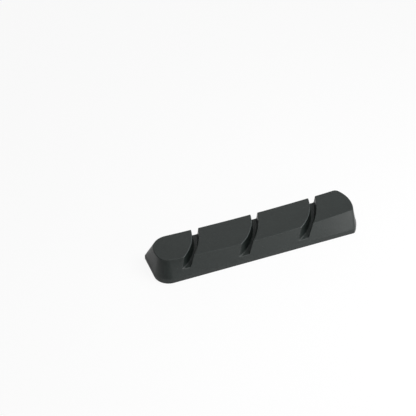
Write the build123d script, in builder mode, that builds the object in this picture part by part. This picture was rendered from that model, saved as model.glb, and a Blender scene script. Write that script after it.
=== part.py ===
from build123d import *
from math import atan2, degrees, sqrt
import os

os.makedirs("parts", exist_ok=True)

# Moulded rubber insert of a bicycle rim brake, lying on its back with the friction face up.
# X runs along the pad, -Y is the bowed long side, Z goes from the back to the friction face.

# Straight rim round the back, which slides into the channel of the brake shoe
rim_length = 54.0
rim_width = 11.4
rim_height = 1.4
rim_left_bowed_corner = 3.8
rim_left_straight_corner = 0.7
rim_right_corner = 0.6
side_ledge = 0.03
end_ledge = 0.16
ledge_rise = 0.45
back_round = 0.1
right_end_radius = 8.5

# Block above the rim, whose walls lean in towards the friction face
pad_height = 6.0
foot_left_bowed_corner = 3.6
foot_left_straight_corner = 1.0
foot_right_corner = 1.6
left_lean = 0.81
right_lean = 0.91
bowed_lean = 0.64
straight_lean = 1.24

# Friction face: one long edge bows outwards along the wheel, the other bends in a little
bowed_sagitta = 1.5
straight_sagitta = 0.65
left_sagitta = 0.75
face_left_bowed_corner = 2.8
face_left_straight_corner = 4.2
face_right_bowed_corner = 0.5
face_right_straight_corner = 1.4
worn_edge = 0.08

# Drain grooves: each starts narrow and shallow at the straight side, then bends along the pad
# and widens to a deep mouth in the bowed side. Their plan is set a little outside both sides.
groove_pitch = 15.7
groove_reach = 0.35
groove_start = 2.0
groove_mouth = -7.5
narrow_width = 2.0
narrow_floor_width = 1.45
mouth_width = 4.15
mouth_floor_width = 3.3
outer_bend = 2.05
inner_bend = 1.0
shallow_depth = 2.45
deep_depth = 3.6
floor_round = 0.35
lip_edge = 0.15
mouth_edge = 0.1

# The left groove is shallower at its mouth and its outer wall leans in there
left_deep_depth = 2.9
left_mouth_lean = 0.6

foot_length = rim_length - 2 * end_ledge
foot_width = rim_width - 2 * side_ledge
face_left = -foot_length / 2 + left_lean
face_right = foot_length / 2 - right_lean
face_bowed = -foot_width / 2 + bowed_lean
face_straight = foot_width / 2 - straight_lean
reach = rim_width / 2 + groove_reach


def right_end(tip, y):
    """X of the round right end at a given Y, for an end whose tip is on the middle line."""
    return tip - right_end_radius + sqrt(right_end_radius**2 - y**2)


def straight_outline(length, width):
    """Plan with three straight sides and a round right end."""
    tip = length / 2
    side = width / 2
    corner = right_end(tip, side)
    with BuildLine() as outline:
        Polyline((corner, side), (-tip, side), (-tip, -side), (corner, -side))
        ThreePointArc((corner, -side), (tip, 0), (corner, side))
    return outline.edges()


def groove_outline(start_width, outer_mouth, inner_mouth, growth):
    """Plan of one groove: two bent lips, closed off outside both long sides of the pad."""
    outer_start = groove_start - start_width / 2 - growth
    inner_start = groove_start + start_width / 2 + growth
    with BuildLine() as outline:
        outer = SagittaArc((outer_start, reach), (outer_mouth - growth, -reach), outer_bend)
        inner = SagittaArc((inner_start, reach), (inner_mouth + growth, -reach), inner_bend)
        Line(outer @ 0, inner @ 0)
        Line(outer @ 1, inner @ 1)
    return outline.edges()


def groove_solid(mouth_depth, mouth_lean):
    """The space of one groove, with worn lips and a round-edged floor that slopes down to its mouth."""
    lip_end = groove_mouth + mouth_width
    floor_end = groove_mouth + mouth_floor_width
    with BuildPart() as groove:
        with BuildSketch(Plane.XY.offset(pad_height - deep_depth - floor_round)) as feet:
            make_face(groove_outline(narrow_floor_width, groove_mouth + mouth_lean, floor_end, 0))
        with BuildSketch(Plane.XY.offset(pad_height - lip_edge)) as lips:
            make_face(groove_outline(narrow_width, groove_mouth, lip_end, 0))
        with BuildSketch(Plane.XY.offset(pad_height)) as worn_lips:
            make_face(groove_outline(narrow_width, groove_mouth, lip_end, lip_edge))
        loft(sections=[feet.sketch, lips.sketch, worn_lips.sketch], ruled=True)
        slope = degrees(atan2(mouth_depth - shallow_depth, 2 * reach))
        shallow_end = (0, reach, pad_height - shallow_depth)
        split(bisect_by=Plane(origin=shallow_end).rotated((slope, 0, 0)), keep=Keep.TOP)
        floor = groove.faces().sort_by(Axis.Z)[0]
        fillet(floor.edges().sort_by(SortBy.LENGTH)[2:], radius=floor_round)
    return groove.part


groove = groove_solid(deep_depth, 0)
left_groove = groove_solid(left_deep_depth, left_mouth_lean)


with BuildPart() as insert:
    # Rim
    with BuildSketch() as rim_plan:
        make_face(straight_outline(rim_length, rim_width))
        fillet(rim_plan.vertices().group_by(Axis.X)[-1], radius=rim_right_corner)
        fillet(rim_plan.vertices().group_by(Axis.X)[0].sort_by(Axis.Y)[0], radius=rim_left_bowed_corner)
        fillet(rim_plan.vertices().group_by(Axis.X)[0].sort_by(Axis.Y)[-1], radius=rim_left_straight_corner)
    extrude(amount=rim_height - ledge_rise)
    fillet(insert.faces().sort_by(Axis.Z)[0].edges(), radius=back_round)

    # Block, drawn on the rim, at its foot, just below the friction face and at the face's worn edge
    with BuildSketch(Plane.XY.offset(rim_height - ledge_rise)) as ledge_plan:
        add(rim_plan.sketch_local)
    with BuildSketch(Plane.XY.offset(rim_height)) as foot_plan:
        make_face(straight_outline(foot_length, foot_width))
        fillet(foot_plan.vertices().group_by(Axis.X)[-1], radius=foot_right_corner)
        fillet(foot_plan.vertices().group_by(Axis.X)[0].sort_by(Axis.Y)[0], radius=foot_left_bowed_corner)
        fillet(foot_plan.vertices().group_by(Axis.X)[0].sort_by(Axis.Y)[-1], radius=foot_left_straight_corner)
    with BuildSketch(Plane.XY.offset(pad_height - worn_edge)) as face_plan:
        with BuildLine():
            left = face_left + left_sagitta
            low = face_bowed + bowed_sagitta
            high = face_straight + straight_sagitta
            low_right = (right_end(face_right, low), low)
            high_right = (right_end(face_right, high), high)
            SagittaArc((left, low), low_right, -bowed_sagitta)
            ThreePointArc(low_right, (face_right, 0), high_right)
            SagittaArc((left, high), high_right, -straight_sagitta)
            SagittaArc((left, low), (left, high), left_sagitta)
        make_face()
        fillet(face_plan.vertices().group_by(Axis.X)[-1], radius=face_right_bowed_corner)
        fillet(face_plan.vertices().group_by(Axis.X)[0].sort_by(Axis.Y)[0], radius=face_left_bowed_corner)
        fillet(face_plan.vertices().group_by(Axis.Y)[-1].sort_by(Axis.X)[0], radius=face_left_straight_corner)
        fillet(face_plan.vertices().sort_by(Axis.Y)[-1], radius=face_right_straight_corner)
    with BuildSketch(Plane.XY.offset(pad_height)) as worn_plan:
        add(face_plan.sketch_local)
        offset(amount=-worn_edge)
    loft(sections=[ledge_plan.sketch, foot_plan.sketch, face_plan.sketch, worn_plan.sketch], ruled=True)

    # Grooves
    with Locations((-groove_pitch, 0)):
        add(left_groove, mode=Mode.SUBTRACT)
    with Locations((0, 0), (groove_pitch, 0)):
        add(groove, mode=Mode.SUBTRACT)

    # Worn upright edges of the groove mouths, in the bowed side
    mouths = insert.edges().filter_by_position(Axis.X, -1.4 * groove_pitch, 1.4 * groove_pitch)
    mouths = mouths.filter_by_position(Axis.Y, -reach, face_bowed / 2)
    above_floors = pad_height - left_deep_depth + 2 * floor_round
    mouths = mouths.filter_by_position(Axis.Z, above_floors, pad_height - 2 * lip_edge)
    chamfer(mouths, length=mouth_edge)

insert.part.label = "insert"
export_step(insert.part, "parts/insert.step")
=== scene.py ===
from math import cos, radians, sin

import bpy
import numpy as np
from mathutils import Matrix, Vector


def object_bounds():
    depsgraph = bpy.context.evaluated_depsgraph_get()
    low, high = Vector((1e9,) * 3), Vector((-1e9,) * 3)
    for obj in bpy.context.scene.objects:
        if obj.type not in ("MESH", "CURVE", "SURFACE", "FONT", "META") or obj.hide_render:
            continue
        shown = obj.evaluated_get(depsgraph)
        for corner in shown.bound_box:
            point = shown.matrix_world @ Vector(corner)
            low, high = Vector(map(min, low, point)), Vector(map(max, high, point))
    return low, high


# A moulded rubber brake pad, lying on its back on a pale floor with its friction face up.
# The pad's shape is the solid's own; this file gives it its finish, the floor, the light and the camera.

MM = 0.001

# Share of plain white in the floor and the room to the eye, and in the floor as the rubber's sheen shows it
SEEN_WHITE = 0.9
MIRRORED_WHITE = 0.2

# Settings of nodes
MULTIPLY = {"operation": "MULTIPLY"}
MULTIPLY_ADD = {"operation": "MULTIPLY_ADD"}
MAXIMUM = {"operation": "MAXIMUM"}
LESS_THAN = {"operation": "LESS_THAN"}
COLOURS = {"data_type": "RGBA"}
EASED = {"interpolation_type": "SMOOTHSTEP"}

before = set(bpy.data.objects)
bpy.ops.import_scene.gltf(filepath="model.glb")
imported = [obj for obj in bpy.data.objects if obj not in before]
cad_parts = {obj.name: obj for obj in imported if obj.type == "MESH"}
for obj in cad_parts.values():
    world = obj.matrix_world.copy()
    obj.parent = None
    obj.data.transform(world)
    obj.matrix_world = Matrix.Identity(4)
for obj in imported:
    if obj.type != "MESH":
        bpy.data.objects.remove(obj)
solid_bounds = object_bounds()


def linear(hex_colour):
    """An sRGB hex colour as linear red, green, blue and alpha, by the sRGB transfer curve."""
    srgb = np.array([int(hex_colour[i : i + 2], 16) for i in (1, 3, 5)]) / 255
    low, high = srgb / 12.92, ((srgb + 0.055) / 1.055) ** 2.4
    return (*np.where(srgb <= 0.04045, low, high).tolist(), 1.0)


def node(tree, kind, settings=None, links=None, values=None):
    """Adds a node: settings are its properties, links join sockets to its inputs, values set other inputs."""
    made = tree.nodes.new(kind)
    for name, value in (settings or {}).items():
        setattr(made, name, value)
    for name, source in (links or {}).items():
        tree.links.new(source, made.inputs[name])
    for name, value in (values or {}).items():
        made.inputs[name].default_value = value
    return made


def new_tree(material_name):
    """A material with an empty node tree."""
    made = bpy.data.materials.new(material_name)
    made.use_nodes = True
    made.node_tree.nodes.clear()
    return made, made.node_tree


def moulded_rubber():
    """
    Black rubber, filled with soot and chalk and pressed in a blasted steel mould.
    To the eye: a near-black, faintly green grey with a dull sheen, a fine even grain, thin clouding,
    a few pale specks of filler, and a painted highlight: paler edges round the face where they face the light
    from the right.
    """
    material, tree = new_tree("moulded_rubber")
    place = node(tree, "ShaderNodeTexCoord").outputs["Object"]
    height = node(tree, "ShaderNodeSeparateXYZ", links={"Vector": place}).outputs["Z"]
    normal = node(tree, "ShaderNodeNewGeometry").outputs["Normal"]
    facing = node(tree, "ShaderNodeSeparateXYZ", links={"Vector": normal}).outputs

    # Grain left by the mould's blasted skin: really about 0.1 mm, drawn at 0.45 mm so that it shows
    grain_size, grain_depth = 0.45 * MM, 0.03 * MM
    fine = {"Scale": 1 / grain_size, "Detail": 2.0, "Roughness": 0.6}
    grain = node(tree, "ShaderNodeTexNoise", links={"Vector": place}, values=fine).outputs["Fac"]

    # Clouding, where the filler is a little denser over some millimetres
    cloud_size = 5.0 * MM
    broad = {"Scale": 1 / cloud_size, "Detail": 3.0, "Roughness": 0.55}
    cloud = node(tree, "ShaderNodeTexNoise", links={"Vector": place}, values=broad).outputs["Fac"]

    # Specks: one soft spot of filler about 0.25 mm wide in an eighth of the cells of a 1 mm pattern
    cell_size, speckled_share = 1.0 * MM, 0.12
    spot_edge = {"From Min": 0.07, "From Max": 0.17, "To Min": 1.0, "To Max": 0.0}
    pattern = {"Scale": 1 / cell_size}
    cells = node(tree, "ShaderNodeTexVoronoi", links={"Vector": place}, values=pattern).outputs
    spot = node(tree, "ShaderNodeMapRange", EASED, {"Value": cells["Distance"]}, spot_edge).outputs["Result"]
    draw = node(tree, "ShaderNodeSeparateColor", links={"Color": cells["Color"]}).outputs["Red"]
    drawn = node(tree, "ShaderNodeMath", LESS_THAN, {0: draw}, {1: speckled_share}).outputs[0]
    speck = node(tree, "ShaderNodeMath", MULTIPLY, {0: spot, 1: drawn}).outputs[0]

    # Painted highlight on the edges: turned down from the friction face, no deeper than the groove lips, and
    # facing the round end, where the lamps at the right light them
    lip_foot, fade = solid_bounds[1][2] - 0.15 * MM, 0.02 * MM
    turned_down = {"From Min": 0.97, "From Max": 0.85}
    above_the_lips = {"From Min": lip_foot - fade, "From Max": lip_foot + fade}
    lit_from_the_right = {"From Min": 0.1, "From Max": 0.4}
    painted_highlight = node(tree, "ShaderNodeMapRange", EASED, {"Value": facing["Z"]}, turned_down).outputs["Result"]
    for source, limits in ((height, above_the_lips), (facing["X"], lit_from_the_right)):
        share = node(tree, "ShaderNodeMapRange", EASED, {"Value": source}, limits).outputs["Result"]
        painted_highlight = node(tree, "ShaderNodeMath", MULTIPLY, {0: painted_highlight, 1: share}).outputs[0]

    # Colour: clouded, shaded by the grain, then specks and the painted highlight on the edges that face the
    # light.
    # A Mix node takes its colours at inputs 6 and 7 and gives one at output 2.
    usual = {"From Min": 0.3, "From Max": 0.7}
    clouded = node(tree, "ShaderNodeMapRange", links={"Value": cloud}, values=usual).outputs["Result"]
    grained = node(tree, "ShaderNodeMapRange", links={"Value": grain}, values=usual).outputs["Result"]
    blacks = {6: linear("#1d2422"), 7: linear("#212826")}
    colour = node(tree, "ShaderNodeMix", COLOURS, {0: clouded}, blacks).outputs[2]
    # The last, pale tone is a painted highlight on the edges lit from the right
    for share, amount, tone in ((grained, 0.6, "#161b1a"), (speck, 0.2, "#5f6464"), (painted_highlight, 0.45, "#6a7070")):
        share = node(tree, "ShaderNodeMath", MULTIPLY, {0: share}, {1: amount}).outputs[0]
        colour = node(tree, "ShaderNodeMix", COLOURS, {0: share, 6: colour}, {7: linear(tone)}).outputs[2]

    # Sheen: dull, a little uneven with the clouding, a little smoother on the same edges as the painted
    # highlight
    dull = {**usual, "To Min": 0.38, "To Max": 0.46}
    smoothing = -0.03
    sheen = node(tree, "ShaderNodeMapRange", links={"Value": cloud}, values=dull).outputs["Result"]
    sheen = node(tree, "ShaderNodeMath", MULTIPLY_ADD, {0: painted_highlight, 2: sheen}, {1: smoothing}).outputs[0]

    relief = {"Strength": 0.7, "Distance": grain_depth}
    bump = node(tree, "ShaderNodeBump", links={"Height": grain}, values=relief).outputs["Normal"]
    surface = {"Base Color": colour, "Roughness": sheen, "Normal": bump}
    gloss = {"IOR": 1.5, "Specular IOR Level": 0.5}
    shader = node(tree, "ShaderNodeBsdfPrincipled", links=surface, values=gloss).outputs["BSDF"]
    node(tree, "ShaderNodeOutputMaterial", links={"Surface": shader})
    return material


def white_to_the_eye(tree, rays):
    """The share of plain white for the rays that the eye sees, and 0 for all others."""
    seen = {0: rays["Is Camera Ray"], 1: rays["Is Transmission Ray"]}
    share = node(tree, "ShaderNodeMath", MAXIMUM, seen).outputs[0]
    return node(tree, "ShaderNodeMath", MULTIPLY, {0: share}, {1: SEEN_WHITE}).outputs[0]


def pale_floor():
    """
    A plain white painted table.
    To the eye: matt and nearly white, with only a soft shadow on it. In the rubber's sheen it keeps most of
    its true, shaded brightness.
    """
    material, tree = new_tree("pale_floor")
    rays = node(tree, "ShaderNodeLightPath").outputs
    mirrored = {0: rays["Is Glossy Ray"], 2: white_to_the_eye(tree, rays)}
    share = node(tree, "ShaderNodeMath", MULTIPLY_ADD, mirrored, {1: MIRRORED_WHITE}).outputs[0]
    paint = node(tree, "ShaderNodeBsdfDiffuse", values={"Color": linear("#ededed")}).outputs["BSDF"]
    white = node(tree, "ShaderNodeEmission", values={"Color": linear("#ffffff")}).outputs["Emission"]
    mix = node(tree, "ShaderNodeMixShader", links={0: share, 1: paint, 2: white}).outputs["Shader"]
    node(tree, "ShaderNodeOutputMaterial", links={"Surface": mix})
    return material


def floor(half_width, drop):
    """A flat square sheet a little below the object, from its four corners."""
    corners = half_width * np.array([[-1, -1], [1, -1], [1, 1], [-1, 1]])
    points = np.column_stack([corners, np.full(4, -drop)])
    mesh = bpy.data.meshes.new("floor")
    mesh.from_pydata(points.tolist(), [], [(0, 1, 2, 3)])
    made = bpy.data.objects.new("floor", mesh)
    bpy.context.scene.collection.objects.link(made)
    mesh.materials.append(pale_floor())


def softbox(name, turn, rise, power, distance, size):
    """A square area lamp that faces the pad's middle. Turn and rise are in degrees, power in watts."""
    lamp = bpy.data.lights.new(name, "AREA")
    lamp.shape = "SQUARE"
    lamp.size = size
    lamp.energy = power
    turn, rise = radians(turn), radians(rise)
    place = distance * Vector((cos(rise) * cos(turn), cos(rise) * sin(turn), sin(rise)))
    made = bpy.data.objects.new(name, lamp)
    made.location = place
    made.rotation_euler = (-place).to_track_quat("-Z", "Y").to_euler()
    made.visible_camera = False
    bpy.context.scene.collection.objects.link(made)


def white_room(fill):
    """A room as pale to the eye as the floor, so that low views have no dark horizon, and a dim light."""
    world = bpy.data.worlds.new("white_room")
    world.use_nodes = True
    tree = world.node_tree
    tree.nodes.clear()
    seen = white_to_the_eye(tree, node(tree, "ShaderNodeLightPath").outputs)
    strength = {"Strength": node(tree, "ShaderNodeMath", MAXIMUM, {0: seen}, {1: fill}).outputs[0]}
    white = {"Color": linear("#ffffff")}
    background = node(tree, "ShaderNodeBackground", links=strength, values=white).outputs["Background"]
    node(tree, "ShaderNodeOutputWorld", links={"Surface": background})
    bpy.context.scene.world = world


def studio_light():
    """
    Small softboxes near the pad, low at the right front and high on both sides, and larger ones behind it.
    The floor hides the lower part of the low ones.
    """
    near = {"distance": 160 * MM, "size": 100 * MM}
    far = {"distance": 300 * MM, "size": 200 * MM}
    softbox("front_right_low", turn=300, rise=10, power=0.115, **near)
    softbox("right_low", turn=330, rise=10, power=0.042, **near)
    softbox("front_left_high", turn=240, rise=60, power=0.085, **near)
    softbox("right_high", turn=330, rise=60, power=0.182, **near)
    softbox("behind_right_low", turn=60, rise=10, power=0.118, **far)
    softbox("behind_low", turn=90, rise=10, power=0.138, **far)
    softbox("behind", turn=75, rise=35, power=0.075, **far)


def camera():
    """
    The photograph's camera, worked out from the pad's outline: a long lens, looking down from the front left.
    It points at the picture's middle, and the pad lies right of that and below it.
    """
    turn, rise, distance = radians(22.126), radians(42.411), 366.3
    aim = Vector((-0.475 * MM, 0, 0))
    picture_width, pixels_per_mm = 416, 4.018
    right_of_middle, below_middle = 44.5, 36.5
    sensor_width = 36.0

    right = Vector((cos(turn), -sin(turn), 0))
    ahead = Vector((sin(turn) * cos(rise), cos(turn) * cos(rise), -sin(rise)))
    up = right.cross(ahead)
    pixels_per_tangent = pixels_per_mm * distance
    axis = (ahead + (up * below_middle - right * right_of_middle) / pixels_per_tangent).normalized()
    side = (right - axis * right.dot(axis)).normalized()
    top = side.cross(axis)

    data = bpy.data.cameras.new("camera")
    data.sensor_width = sensor_width
    data.lens = sensor_width * pixels_per_tangent / picture_width
    data.clip_start, data.clip_end = 10 * MM, 10000 * MM
    made = bpy.data.objects.new("camera", data)
    turned = Matrix((side, top, -axis)).transposed().to_4x4()
    made.matrix_world = Matrix.Translation(aim - ahead * distance * MM) @ turned
    bpy.context.scene.collection.objects.link(made)
    bpy.context.scene.camera = made


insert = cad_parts["insert"]
rubber = moulded_rubber()
for slot in insert.material_slots:
    slot.material = rubber

floor(half_width=1500 * MM, drop=0.02 * MM)
white_room(fill=0.01)
studio_light()
camera()
bpy.context.scene.view_settings.view_transform = "Standard"
